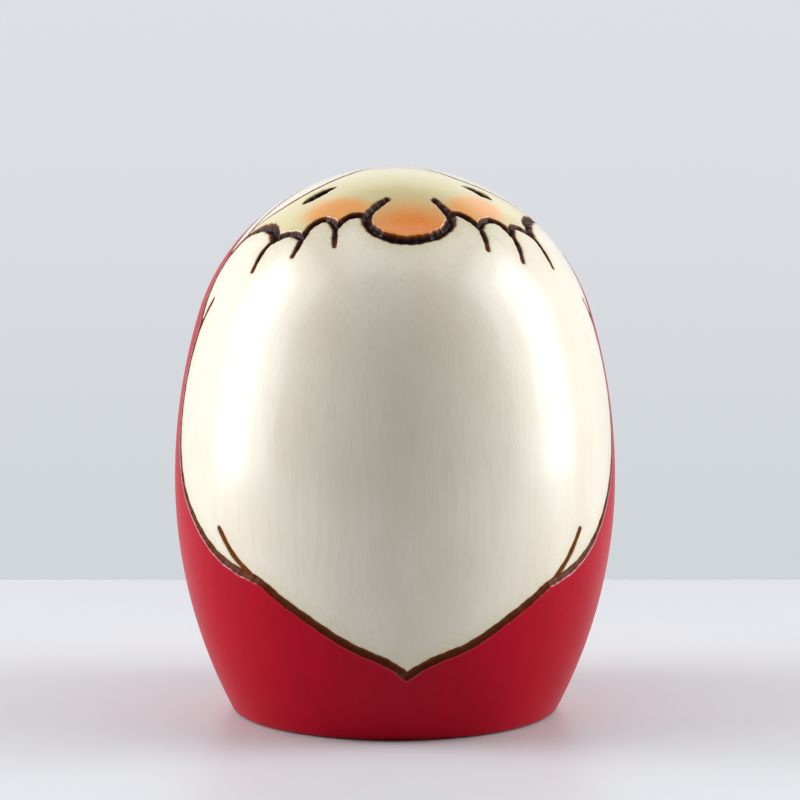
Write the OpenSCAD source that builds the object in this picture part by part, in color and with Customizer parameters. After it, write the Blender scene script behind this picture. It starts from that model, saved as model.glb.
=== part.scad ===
// Daruma doll: one lathe-turned block of wood with a flat base. Burnt grooves outline
// the beard, moustache, nose, brows and hood, and each field between them has its own
// coat of lacquer. The doll stands on z = 0 and faces -Y. All sizes are millimetres.

/* [Body] */
// Diameter at the widest section
body_d = 60; // [54:1:66]
// Height of the widest section above the base
waist_z = 32; // [30:1:34]
// Total height
body_h = 74.5; // [72:0.5:78]
// Diameter of the base
base_d = 44; // [40:1:48]
// Radius of the arc that shapes the upper flank
flank_r = 79; // [70:1:95]
// Height of the bare bevel round the base
bevel_h = 0.5; // [0.3:0.1:1]
// Diameter of the lathe-centre dimple under the base
dimple_d = 4; // [2:0.5:6]
// Depth of the lathe-centre dimple
dimple_h = 0.8; // [0.4:0.1:1.5]

/* [Coats] */
// Depth of each lacquered layer, down to the floor of the burnt grooves
coat_t = 0.5; // [0.4:0.05:0.6]

/* [Burnt lines] */
// Depth at which the charred floor of a groove starts
char_depth = 0.35; // [0.2:0.05:0.35]
// Width of the nose groove
nose_w = 1.4; // [1:0.1:1.8]
// Width of the moustache grooves
moustache_w = 1.1; // [0.8:0.1:1.4]
// Width of the hair strands under the moustache
strand_w = 0.7; // [0.5:0.1:1]
// Width of the beard's outline
beard_w = 0.85; // [0.6:0.05:1.1]
// Width of the fine lines round the brows and the hood
fine_w = 0.5; // [0.4:0.05:0.7]
// Greatest width of the eye slits
eye_w = 0.8; // [0.6:0.1:1.2]

/* [Cheeks] */
// Half width of a cheek
cheek_rx = 3.6; // [3:0.1:3.7]
// Half height of a cheek
cheek_ry = 2.1; // [1.5:0.1:2.3]

/* [Hidden] */
$fn = 180;

// Silhouette: three arcs, tangent to each other, that turn about Z.
waist_r = body_d / 2;
base_r = base_d / 2;
step_r = waist_r - base_r;
lower_r = (step_r * step_r + waist_z * waist_z) / (2 * step_r);
rise = body_h - waist_z;
crown_r = (2 * flank_r * waist_r - waist_r * waist_r - rise * rise) / (2 * (flank_r - rise));
crown_z = body_h - crown_r;
join_angle = atan2(crown_z - waist_z, flank_r - waist_r);
dimple_ball_r = (dimple_d * dimple_d / 4 + dimple_h * dimple_h) / (2 * dimple_h);

// Distance from the centre of the widest section to the near and the far end of a cone
// that cuts a field, along its own axis
cone_in = 2;
cone_out = 50;
// Steps between two points of an outline
steps = 3;

// Outlines, as points [azimuth, elevation] in degrees seen from the centre of the
// widest section. Azimuth 0 is the front and grows to +X. A third number scales the
// line's width there; it is 1 where none is given.
nose_pts = [
    [-9, 72.5, 0.6], [-14.5, 70, 0.8], [-17.5, 67, 0.9], [-15, 64.3], [-8, 62], [1, 61],
    [11, 61.8], [18.5, 63.6], [23.2, 66.3, 0.9], [22.5, 69, 0.8], [20, 72, 0.6]
];
nose_top_pts = [[-4, 73.6], [5, 74.2], [14, 73.6]];
left_arches = [
    [[-17, 67], [-22, 67.4], [-27, 66.6], [-30.5, 64]],
    [[-30.5, 64], [-34, 65.4], [-39, 65.6], [-42.8, 63.6], [-43.4, 60.7]],
    [[-43.4, 60.7], [-48, 61.4], [-53, 61], [-57.5, 59.6, 1.2]],
    [[-57.5, 59.6, 1.2], [-62, 61.4, 1.6], [-69, 62, 1.5], [-75, 61, 1.2], [-81.5, 58.5, 0.8]]
];
right_arches = [
    [[22.8, 67.2], [28, 67.4], [32.5, 65.6], [34.7, 63.4]],
    [[34.7, 63.4], [38.8, 64.7], [44, 64.9], [48.2, 63.4], [49.5, 60.9]],
    [[49.5, 60.9], [53.5, 62.4], [58, 62], [63, 59.7, 1.2]],
    [[63, 59.7, 1.2], [67, 61.8, 1.6], [74, 62.8, 1.6], [83, 62.6, 1.2], [91, 61.5, 0.8]]
];
left_beard_pts = [
    [-81.5, 58.5], [-84.5, 53.5], [-84.3, 48.5], [-82.5, 43], [-80.9, 38], [-82.4, 31],
    [-82.6, 22], [-80.5, 11], [-75.5, 1], [-67.5, -7], [-58, -13.8], [-49, -17.4],
    [-42, -19.2], [-35.5, -23.2], [-28, -27.4], [-16.4, -33.5], [-8, -36.6],
    [-3.4, -38.7], [-0.7, -40.6]
];
right_beard_pts = [
    [91, 61.5], [88.5, 56.5], [85, 50.5], [81.5, 44.5], [79.4, 38.5], [80, 31],
    [79, 21], [75.5, 9], [69.5, -1.5], [60.7, -11.3], [51.5, -17.2], [43.5, -19.8],
    [40, -21], [34.7, -24.2], [28, -27.9], [17, -33.7], [9, -36.2], [3.6, -38.3],
    [-0.7, -40.6]
];
// Strands that hang from the moustache's points, each from its free end to that point
left_strands = [
    [[-27.4, 59.3], [-29, 61.8], [-30.5, 64]], [[-43.2, 56.4], [-43, 58.6], [-43.4, 60.7]],
    [[-58.7, 52.2], [-59.3, 56.6], [-57.5, 59.6]]
];
right_strands = [
    [[32.4, 58], [34, 60.8], [34.7, 63.4]], [[45.8, 54.6], [48.4, 58], [49.5, 60.9]],
    [[61.5, 52.3], [62.8, 56.5], [63, 59.7]]
];
// Ends of the beard's side and low locks, and the station of the beard's outline after
// which each one joins it
left_locks = [
    [[-76, 44.8], [-78.3, 41.4], [-81.1, 37]], [[-55.5, -7.3], [-50.3, -13.6], [-43, -18.9]]
];
left_lock_at = [11, 33];
right_locks = [
    [[75.8, 44], [77.6, 41], [79.7, 37]], [[51.7, -8.2], [47.2, -15], [41.5, -20.4]]
];
right_lock_at = [11, 32];
left_brow_pts = [
    [-79, 63.2], [-75, 67.3], [-72.6, 71.5], [-72, 76.5], [-80, 82], [-140, 85],
    [-166, 82], [-165, 79]
];
right_brow_pts = [
    [87, 63.4], [82.5, 67.3], [76.5, 72], [71, 77.5], [81, 82.3], [145, 85],
    [170, 82.5], [171, 79]
];
face_edge_pts = [
    [-81.5, 58.5], [-84.8, 63.5], [-89, 68.5], [-101, 74], [-135, 78], [-165, 79],
    [171, 79], [143, 78], [110, 74], [98.5, 68.5], [94, 64.5], [91, 61.5]
];
hood_pts = [
    [-85.2, 52.5], [-88.8, 57.5], [-94, 62], [-103, 66.8], [-130, 71.5], [182, 73],
    [138, 71.5], [111, 66.8], [102, 62], [96, 57.5], [88.3, 52.5]
];
left_eye_pts = [[-61.6, 69, 0.15], [-59.3, 72.7], [-53, 76, 0.15]];
right_eye_pts = [[56.5, 76, 0.15], [61.5, 73.2], [62.9, 69.9, 0.15]];
left_cheek_at = [-33.5, 70];
right_cheek_at = [40.5, 69.8];

up = [0, 0, 1];
function unit(v) = v / norm(v);
// Unit direction of a point [azimuth, elevation]
function aim(p) = [cos(p[1]) * sin(p[0]), -cos(p[1]) * cos(p[0]), sin(p[1])];

// Distance from the centre along elevation e to an arc of radius r, whose own centre
// lies at x and z from it
function to_arc(e, x, z, r) =
    x * cos(e) + z * sin(e) + sqrt(r * r - pow(x * sin(e) - z * cos(e), 2));
join_elevation = atan2(flank_r * sin(join_angle),
                       waist_r - flank_r + flank_r * cos(join_angle));
// Distance from the centre to the skin in unit direction u
function reach(u) =
    let (e = asin(u[2]))
    e < 0 ? to_arc(e, waist_r - lower_r, 0, lower_r)
    : e < join_elevation ? to_arc(e, waist_r - flank_r, 0, flank_r)
    : to_arc(e, 0, crown_z - waist_z, crown_r);

// Point at t from b to c on a smooth curve that runs through a, b, c and d
function blend(a, b, c, d, t) =
    0.5 * (2 * b + (c - a) * t + (2 * a - 5 * b + 4 * c - d) * t * t
    + (3 * b - a - 3 * c + d) * t * t * t);

// Smooth curve through outline points, as stations [unit direction, width factor]
function curve(pts) =
    let (u = [for (p = pts) aim(p)],
         f = [for (p = pts) len(p) > 2 ? p[2] : 1],
         last = len(u) - 1)
    [for (k = [0 : last * steps])
        let (i = min(floor(k / steps), last - 1), t = k / steps - i)
        [unit(blend(u[max(i - 1, 0)], u[i], u[i + 1], u[min(i + 2, last)], t)),
         f[i] * (1 - t) + f[i + 1] * t]];

// One side of the line of width w along pts: its left (1) or its right (-1), seen from
// outside while going along it
function side(pts, w, hand) =
    let (c = curve(pts), last = len(c) - 1)
    [for (k = [0 : last])
        let (u = c[k][0],
             along = c[min(k + 1, last)][0] - c[max(k - 1, 0)][0],
             across = unit(cross(u, along)))
        unit(u + across * hand * w * c[k][1] / 2 / reach(u))];

function back(list) = [for (k = [len(list) - 1 : -1 : 0]) list[k]];
// Stretch of a curve between two outline points
function part(list, i, j) = [for (k = [i * steps : j * steps]) list[k]];

function drop(list, first, last) = [for (k = [first : len(list) - 1 - last]) list[k]];

// Twice the area that a loop of directions goes round, positive if it goes
// anticlockwise seen from outside along m
function turn(loop, m, k = 0) =
    k == len(loop) ? 0
    : cross(loop[k], loop[(k + 1) % len(loop)]) * m + turn(loop, m, k + 1);

// Cone from the centre over a closed loop of directions, between two planes across m
module field(loop, m) {
    ring = turn(loop, m) > 0 ? back(loop) : loop;
    n = len(ring);
    corners = [for (h = [cone_in, cone_out], u = ring) u * h / (u * m)];
    walls = [for (k = [0 : n - 1])
        let (j = (k + 1) % n)
        each [[k, j, n + j], [k, n + j, n + k]]];
    caps = [[for (k = [n - 1 : -1 : 0]) k], [for (k = [0 : n - 1]) n + k]];
    polyhedron(corners, concat(walls, caps));
}

// Loop round the line of width w along pts, without its first and last few stations
function band(pts, w, first = 0, last = 0) =
    concat(drop(side(pts, w, 1), first, last), back(drop(side(pts, w, -1), first, last)));

// Way round a side line, from the line that it joins to its free end and back. It goes
// out on the side that hand gives.
function prong(pts, hand, first, last) =
    concat(back(drop(side(pts, strand_w, hand), 0, first)),
           drop(side(pts, strand_w, -hand), 0, last));

// Half of the turned silhouette, moved in by depth d
module silhouette(d) {
    join_z = waist_z + (flank_r - d) * sin(join_angle);
    intersection() {
        translate([waist_r - lower_r, waist_z]) circle(r = lower_r - d);
        square([waist_r + 5, waist_z]);
    }
    intersection() {
        translate([waist_r - flank_r, waist_z]) circle(r = flank_r - d);
        translate([0, waist_z]) square([waist_r + 5, join_z - waist_z]);
    }
    intersection() {
        translate([0, crown_z]) circle(r = crown_r - d);
        translate([0, join_z]) square([waist_r + 5, crown_r]);
    }
}

// Skin of the doll between two depths, above the bare bevel
module skin(outer, inner) {
    rotate_extrude() difference() {
        silhouette(outer);
        silhouette(inner);
        square([waist_r, bevel_h]);
    }
}

module about_waist() { translate([0, 0, waist_z]) children(); }

// Side of a moustache half towards the face. Between two arches it has one corner.
function upper_side(arches, hand) = [for (k = [0 : len(arches) - 1])
    let (s = side(arches[k], moustache_w, hand), joined = k < len(arches) - 1)
    each concat(drop(s, k == 0 ? 0 : 2, joined ? 2 : 0),
                joined ? [corner(arches[k], arches[k + 1])] : [])];
function corner(a, b) =
    let (c = aim(b[0]),
         to_a = unit(aim(a[len(a) - 2]) - c),
         to_b = unit(aim(b[1]) - c),
         half = acos(to_a * to_b) / 2)
    unit(c + unit(to_a + to_b) * moustache_w / 2 / sin(half) / reach(c));
// Its side towards the beard, round the strands
function lower_side(arches, strands, hand) = [for (k = [0 : len(arches) - 1])
    let (s = side(arches[k], moustache_w, hand), joined = k < len(arches) - 1)
    each concat(drop(s, k == 0 ? 0 : 1, joined ? 1 : 0),
                joined ? prong(strands[k], -hand, 1, 1) : [])];
// Side of a beard line towards the beard, round its two locks
function inner_side(pts, locks, at, hand) =
    let (s = side(pts, beard_w, hand), rest = 3)
    concat([for (k = [0 : at[0]]) s[k]], prong(locks[0], -hand, 2, 1),
           [for (k = [at[0] + rest : at[1]]) s[k]], prong(locks[1], -hand, 2, 1),
           [for (k = [at[1] + rest : len(s) - 1]) s[k]]);

// One coat of lacquer over a field
module coat() {
    intersection() {
        skin(0, coat_t);
        about_waist() children();
    }
}

module wood_body() {
    color([0.87, 0.77, 0.6]) difference() {
        rotate_extrude() difference() {
            silhouette(coat_t);
            polygon([[base_r - coat_t - bevel_h, 0], [base_r, 0], [base_r, bevel_h + coat_t]]);
        }
        translate([0, 0, dimple_h - dimple_ball_r]) sphere(r = dimple_ball_r);
    }
}

left_fringe = lower_side(left_arches, left_strands, 1);
right_fringe = lower_side(right_arches, right_strands, -1);
left_beard_side = inner_side(left_beard_pts, left_locks, left_lock_at, 1);
right_beard_side = inner_side(right_beard_pts, right_locks, right_lock_at, -1);

// Everything but the beard and the head: its inner edge runs down the left beard line,
// up the right one and back over the hood line.
module robe_coat() {
    edge = concat(
        part(side(left_beard_pts, beard_w, -1), 2, 18),
        back(part(side(right_beard_pts, beard_w, 1), 2, 17)),
        back(side(hood_pts, fine_w, 1)));
    color([0.75, 0.08, 0.15]) difference() {
        skin(0, coat_t);
        about_waist() field(edge, aim([0, 30]));
    }
}

module beard_coat() {
    edge = concat(
        back(drop(left_fringe, 1, 2)),
        part(side(nose_pts, nose_w, -1), 3, 7),
        drop(right_fringe, 1, 2),
        drop(right_beard_side, 2, 2),
        back(drop(left_beard_side, 2, 2)));
    color([0.97, 0.96, 0.92]) coat() field(edge, aim([0, 25]));
}

module hood_trim_coat() {
    edge = concat(
        part(side(hood_pts, fine_w, -1), 1, 9),
        back(part(side(face_edge_pts, fine_w, 1), 1, 10)));
    color([0.97, 0.96, 0.92]) coat() field(edge, up);
}

module cheek_field(at) {
    u = aim(at);
    across = unit(cross(up, u));
    along = cross(u, across);
    field([for (t = [0 : 15 : 345])
        unit(u + (across * cheek_rx * cos(t) + along * cheek_ry * sin(t)) / reach(u))], up);
}
module face_coat() {
    edge = concat(
        back(drop(upper_side(left_arches, -1), 2, 3)),
        back(part(side(nose_pts, nose_w, -1), 0, 1)),
        [for (p = nose_top_pts) aim(p)],
        back(part(side(nose_pts, nose_w, -1), 9, 10)),
        drop(upper_side(right_arches, 1), 2, 3),
        side(right_brow_pts, fine_w, 1),
        back(side(left_brow_pts, fine_w, -1)));
    color([0.9, 0.86, 0.72]) difference() {
        coat() field(edge, up);
        about_waist() {
            cheek_field(left_cheek_at);
            cheek_field(right_cheek_at);
            field(band(left_eye_pts, eye_w), up);
            field(band(right_eye_pts, eye_w), up);
        }
    }
}
module cheek_coat(at) {
    color([0.9, 0.68, 0.45]) coat() cheek_field(at);
}
module left_cheek_coat() { cheek_coat(left_cheek_at); }
module right_cheek_coat() { cheek_coat(right_cheek_at); }
module nose_coat() {
    edge = concat(side(nose_pts, nose_w, 1), back([for (p = nose_top_pts) aim(p)]));
    color([0.85, 0.55, 0.28]) coat() field(edge, up);
}

module brow_coat(pts, hand, first, last) {
    rim = part(side(face_edge_pts, fine_w, -1), first, last);
    inner = side(pts, fine_w, hand);
    color([0.97, 0.96, 0.92]) coat() field(concat(inner, hand > 0 ? back(rim) : rim), up);
}
module left_brow_coat() { brow_coat(left_brow_pts, 1, 1, 4); }
module right_brow_coat() { brow_coat(right_brow_pts, -1, 7, 10); }

// Charred wood on the floor of a burnt line. Where two lines meet, one stops short.
module char(loop, m) {
    color([0.27, 0.1, 0.06]) intersection() {
        skin(char_depth, coat_t);
        about_waist() field(loop, m);
    }
}
module nose_line() { char(band(nose_pts, nose_w), up); }
module left_moustache_line() {
    char(concat(drop(upper_side(left_arches, -1), 1, 2), back(drop(left_fringe, 1, 2))), up);
}
module right_moustache_line() {
    char(concat(drop(upper_side(right_arches, 1), 1, 2), back(drop(right_fringe, 1, 2))), up);
}
module left_beard_line() {
    outer = side(left_beard_pts, beard_w, -1);
    char(concat(outer, back(left_beard_side)), aim([-40, 20]));
}
module right_beard_line() {
    outer = side(right_beard_pts, beard_w, 1);
    char(concat(drop(outer, 0, 1), back(drop(right_beard_side, 0, 1))), aim([40, 20]));
}
module left_brow_line() { char(band(left_brow_pts, fine_w, 0, 1), up); }
module right_brow_line() { char(band(right_brow_pts, fine_w, 0, 1), up); }
module face_edge_line() { char(band(face_edge_pts, fine_w, 1, 1), up); }
module hood_line() { char(band(hood_pts, fine_w, 1, 1), up); }

// Black floor of a closed eye's slit
module eye_slit(pts) {
    color([0.08, 0.06, 0.05]) intersection() {
        skin(char_depth, coat_t);
        about_waist() field(band(pts, eye_w), up);
    }
}
module left_eye_slit() { eye_slit(left_eye_pts); }
module right_eye_slit() { eye_slit(right_eye_pts); }

wood_body();
robe_coat();
beard_coat();
face_coat();
nose_coat();
left_cheek_coat();
right_cheek_coat();
left_brow_coat();
right_brow_coat();
hood_trim_coat();
nose_line();
left_moustache_line();
right_moustache_line();
left_beard_line();
right_beard_line();
left_brow_line();
right_brow_line();
face_edge_line();
hood_line();
left_eye_slit();
right_eye_slit();
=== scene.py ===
"""Looks of a turned wooden daruma doll: burnt grooves, gloss lacquer and a bare base.

The doll's skin is one fine mesh round its turning axis. The burnt lines are pressed into
it, and then it is cut along their edges into the painted fields and the lines themselves.
Lengths are in millimetres until a piece is made.
"""
import math

import bmesh
import bpy
import numpy as np
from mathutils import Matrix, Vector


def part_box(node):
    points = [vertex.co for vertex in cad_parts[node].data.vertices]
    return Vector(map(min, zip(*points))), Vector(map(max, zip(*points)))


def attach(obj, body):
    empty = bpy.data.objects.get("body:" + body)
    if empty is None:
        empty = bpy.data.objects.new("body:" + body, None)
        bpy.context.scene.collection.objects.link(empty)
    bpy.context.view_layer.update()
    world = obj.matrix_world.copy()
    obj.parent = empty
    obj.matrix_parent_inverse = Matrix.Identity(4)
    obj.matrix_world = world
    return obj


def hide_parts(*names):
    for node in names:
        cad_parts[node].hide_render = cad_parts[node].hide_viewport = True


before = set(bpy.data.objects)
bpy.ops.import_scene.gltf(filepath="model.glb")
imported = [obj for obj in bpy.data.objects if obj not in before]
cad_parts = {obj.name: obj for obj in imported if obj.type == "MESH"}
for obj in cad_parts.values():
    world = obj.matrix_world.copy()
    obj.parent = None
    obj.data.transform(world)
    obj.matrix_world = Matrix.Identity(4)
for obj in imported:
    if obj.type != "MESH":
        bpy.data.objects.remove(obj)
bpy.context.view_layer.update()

MM = 0.001

# ---------------------------------------------------------------- driving dimensions

ROBE_LOW, ROBE_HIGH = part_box("robe_coat")
BODY_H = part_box("face_coat")[1].z / MM
WAIST_R = (ROBE_HIGH.x - ROBE_LOW.x) / 2 / MM
WAIST_Z = 32.0
BASE_R = 22.0
FLANK_R = 79.0
BEVEL_H = ROBE_LOW.z / MM
DIMPLE_R = 2.0
DIMPLE_H = 0.8
RING_PITCH = 1.1  # the tool's marks under the base
RING_H = 0.03
RING_STEP = 0.2
BLOCK_TURNS = 160
BLOCK_ROWS = 70
SHELL_T = 0.9  # thickness of the painted and burnt pieces, which hides the wood under them

NOSE_W = 1.4
MOUSTACHE_W = 1.1
STRAND_W = 0.82
BEARD_W = 1.05
FINE_W = 0.5
EYE_W = 1.8

FINE_EDGE = 0.15  # longest mesh edge in and beside a groove
COARSE_EDGE = 1.1  # longest mesh edge far from any groove
FINE_BAND = 0.3  # width of the fine mesh beside a groove
EDGE_GROWTH = 0.3  # growth of the edge length with distance beyond that
SHOULDER = 1.35  # where a groove's rounded shoulder ends, in half widths
RIDGE_PITCH = 0.42  # distance between the scorch ridges across the thick grooves
RIDGE_H = 0.035
ISLAND = 60  # a patch of fewer faces than this joins the piece round it
SETTLE_ROUNDS = 4
SPHERE_SPLITS = 6  # subdivisions of the starting sphere
REFINE_ROUNDS = 12
SNAP = 0.3  # vertices nearer a groove's edge than this share of FINE_EDGE are moved onto it
LEVEL_SNAP = 0.05  # vertices nearer the bevel's height than this count as on it
SPARSE = 6  # a rough distance is taken to every sixth point of a line
NEAR = 5.0  # rough distance within which a line is measured finely

# Outlines as [azimuth, elevation] in degrees, seen from the centre of the widest section.
# Azimuth 0 is the front and grows to +X. A third number scales the line's width there.
NOSE = [
    [-9, 72.3, 0.8], [-14.5, 70, 0.9], [-17.5, 67, 1], [-15, 64.3], [-8, 62], [1, 61],
    [11, 61.8], [18.5, 63.6], [23.2, 66.3, 1], [22.5, 69, 0.9], [20, 71.8, 0.75],
]
LEFT_ARCHES = [
    [[-17, 67], [-22, 67.4], [-27, 66.6], [-30.5, 64]],
    [[-30.5, 64], [-34, 65.4], [-39, 65.6], [-42.8, 63.6], [-43.4, 60.7]],
    [[-43.4, 60.7], [-48, 61.4], [-53, 61], [-57.5, 59.6, 1.2]],
    [[-57.5, 59.6, 1.2], [-62, 61.4, 1.6], [-69, 62, 1.5], [-75, 61, 1.2], [-81.5, 58.5, 0.7]],
]
RIGHT_ARCHES = [
    [[22.8, 67.2], [28, 67.4], [32.5, 65.6], [34.7, 63.4]],
    [[34.7, 63.4], [38.8, 64.7], [44, 64.9], [48.2, 63.4], [49.5, 60.9]],
    [[49.5, 60.9], [53.5, 62.4], [58, 62], [63, 59.7, 1.2]],
    [[63, 59.7, 1.2], [67, 61.8, 1.6], [74, 62.8, 1.6], [83, 62.6, 1.2], [91, 61.5, 0.7]],
]
LEFT_STRANDS = [
    [[-27.4, 59.3, 0.85], [-29, 61.8], [-30.5, 64]],
    [[-43.2, 56.4, 0.85], [-43, 58.6], [-43.4, 60.7]],
    [[-58.7, 52.2, 0.85], [-59.3, 56.6], [-57.5, 59.6]],
]
RIGHT_STRANDS = [
    [[32.4, 58, 0.85], [34, 60.8], [34.7, 63.4]],
    [[45.8, 54.6, 0.85], [48.4, 58], [49.5, 60.9]],
    [[61.5, 52.3, 0.85], [62.8, 56.5], [63, 59.7]],
]
LEFT_BEARD = [
    [-81.5, 58.5], [-84.5, 53.5], [-84.3, 48.5], [-82.5, 43], [-80.9, 38], [-82.4, 31],
    [-82.6, 22], [-80.5, 11], [-75.5, 1], [-67.5, -7], [-58, -13.8], [-49, -17.4],
    [-42, -19.2], [-35.5, -23.2], [-28, -27.4], [-16.4, -33.5], [-8, -36.6],
    [-3.4, -38.7], [-0.7, -40.6],
]
RIGHT_BEARD = [
    [91, 61.5], [88.5, 56.5], [85, 50.5], [81.5, 44.5], [79.4, 38.5], [80, 31],
    [79, 21], [75.5, 9], [69.5, -1.5], [60.7, -11.3], [51.5, -17.2], [43.5, -19.8],
    [40, -21], [34.7, -24.2], [28, -27.9], [17, -33.7], [9, -36.2], [3.6, -38.3],
    [-0.7, -40.6],
]
LEFT_LOCKS = [
    [[-76, 44.8, 1.05], [-78.3, 41.4], [-81.1, 37]],
    [[-55.5, -7.3, 1.05], [-50.3, -13.6], [-43, -18.9]],
]
RIGHT_LOCKS = [
    [[75.8, 44, 1.05], [77.6, 41], [79.7, 37]],
    [[51.7, -8.2, 1.05], [47.2, -15], [41.5, -20.4]],
]
LEFT_BROW = [
    [-82.4, 59.4, 0.4], [-79.3, 63.2, 0.6], [-75, 67.3], [-72.6, 71.5], [-72, 76.5],
    [-80, 82], [-140, 85], [-166, 82], [-165, 79],
]
RIGHT_BROW = [
    [91.5, 61.7, 0.4], [87, 63.6, 0.6], [82.5, 67.3], [76.5, 72], [71, 77.5], [81, 82.3], [145, 85],
    [170, 82.5], [171, 79],
]
FACE_EDGE = [
    [-81.5, 58.5], [-84.8, 63.5], [-89, 68.5], [-101, 74], [-135, 78], [-165, 79],
    [171, 79], [143, 78], [110, 74], [98.5, 68.5], [94, 64.5], [91, 61.5],
]
HOOD = [
    [-84.4, 52], [-88.8, 57.5], [-94, 62], [-103, 66.8], [-130, 71.5], [182, 73],
    [138, 71.5], [111, 66.8], [102, 62], [96, 57.5], [87, 52],
]
LEFT_EYE = [[-61.2, 69.6, 0.4], [-60.3, 71.2], [-57.6, 73.9, 0.8], [-54, 75.5, 0.25]]
RIGHT_EYE = [[57.2, 75.5, 0.25], [60, 74.2, 0.7], [62, 72, 1], [62.6, 70.4, 0.4]]
LEFT_CHEEK = [-33.5, 70]
RIGHT_CHEEK = [40.5, 69.8]
CHEEK_RX = 3.6
CHEEK_RY = 2.1
NOSE_TOP = [[-9, 72.5], [5, 74.2], [20, 72]]
# Each spray: its centre, its radii across and along, and the share of them at full strength
NOSE_SPRAY = [3, 62.4], 11.0, 8.2, 0.2
LEFT_BLUSH = [-33, 68], 6.0, 3.7, 0.55
RIGHT_BLUSH = [40.5, 68.2], 5.4, 3.6, 0.55
SPRAY_OUT = 1.15  # where a spray ends, in its radii
TIP_BURN = 0.45  # how burnt a strand's loose end is, and the length that it fades over
TIP_L = 2.6
FINE_BURN = 0.35  # how burnt a line is as its width goes to nothing
EDGE_REACH = 5  # distance from a groove beyond which the edge attribute stays the same
ACROSS_REACH = 1.5

# Each stroke: the node it belongs to, its outline, width, how burnt it is (1 is black),
# and how much its walls are ridged
STROKES = [("nose_line", NOSE, NOSE_W, 1.0, 1.0)]
for side, arches, strands, beard, locks, brow in (
    ("left", LEFT_ARCHES, LEFT_STRANDS, LEFT_BEARD, LEFT_LOCKS, LEFT_BROW),
    ("right", RIGHT_ARCHES, RIGHT_STRANDS, RIGHT_BEARD, RIGHT_LOCKS, RIGHT_BROW),
):
    STROKES += [(side + "_moustache_line", arch, MOUSTACHE_W, 1.0, 1.0) for arch in arches]
    STROKES += [(side + "_moustache_line", strand, STRAND_W, 0.8, 0.5) for strand in strands]
    STROKES += [(side + "_beard_line", beard, BEARD_W, 0.72, 0.4)]
    STROKES += [(side + "_beard_line", lock, STRAND_W, 0.45, 0.3) for lock in locks]
    STROKES += [(side + "_brow_line", brow, FINE_W, 0.5, 0.2)]
STROKES += [
    ("face_edge_line", FACE_EDGE, FINE_W, 0.6, 0.2),
    ("hood_line", HOOD, FINE_W, 0.6, 0.2),
    ("left_eye_slit", LEFT_EYE, EYE_W, 1.0, 0.0),
    ("right_eye_slit", RIGHT_EYE, EYE_W, 1.0, 0.0),
]

# A point inside each painted field
FIELD_SEEDS = {
    "robe_coat": [180, 20],
    "beard_coat": [0, 18],
    "face_coat": [0, 81],
    "left_brow_coat": [-100, 78],
    "right_brow_coat": [102, 78],
    "hood_trim_coat": [180, 76],
}

# ---------------------------------------------------------------- the turned surface

STEP_R = WAIST_R - BASE_R
LOWER_R = (STEP_R**2 + WAIST_Z**2) / (2 * STEP_R)
RISE = BODY_H - WAIST_Z
CROWN_R = (2 * FLANK_R * WAIST_R - WAIST_R**2 - RISE**2) / (2 * (FLANK_R - RISE))
CROWN_Z = BODY_H - CROWN_R
JOIN_ANGLE = math.atan2(CROWN_Z - WAIST_Z, FLANK_R - WAIST_R)
JOIN_ELEVATION = math.atan2(
    FLANK_R * math.sin(JOIN_ANGLE), WAIST_R - FLANK_R + FLANK_R * math.cos(JOIN_ANGLE)
)
# Each arc: its centre's distance from the axis and height over the waist, and its radius
ARCS = [
    (WAIST_R - LOWER_R, 0.0, LOWER_R),
    (WAIST_R - FLANK_R, 0.0, FLANK_R),
    (0.0, CROWN_Z - WAIST_Z, CROWN_R),
]


def unit(v):
    return v / np.linalg.norm(v, axis=-1, keepdims=True)


def aim(points):
    """Unit directions of [azimuth, elevation] points."""
    az, el = np.radians(np.atleast_2d(np.array([p[:2] for p in points], float))).T
    return np.stack([np.cos(el) * np.sin(az), -np.cos(el) * np.cos(az), np.sin(el)], 1)


def skin(directions):
    """Points and normals of the skin in unit directions from the waist's centre."""
    sin_e = directions[:, 2]
    cos_e = np.sqrt(np.maximum(1 - sin_e**2, 0))
    elevation = np.arcsin(np.clip(sin_e, -1, 1))
    arc = np.array(ARCS)[(elevation >= 0).astype(int) + (elevation >= JOIN_ELEVATION)]
    x, z, r = arc.T
    reach = x * cos_e + z * sin_e + np.sqrt(r**2 - (x * sin_e - z * cos_e) ** 2)
    points = directions * reach[:, None] + [0, 0, WAIST_Z]
    around = directions[:, :2] / np.maximum(cos_e, 1e-9)[:, None]
    out = (reach * cos_e - x) / r
    normals = np.column_stack([around * out[:, None], (reach * sin_e - z) / r])
    return points, unit(normals)


# ---------------------------------------------------------------- burnt lines

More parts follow.
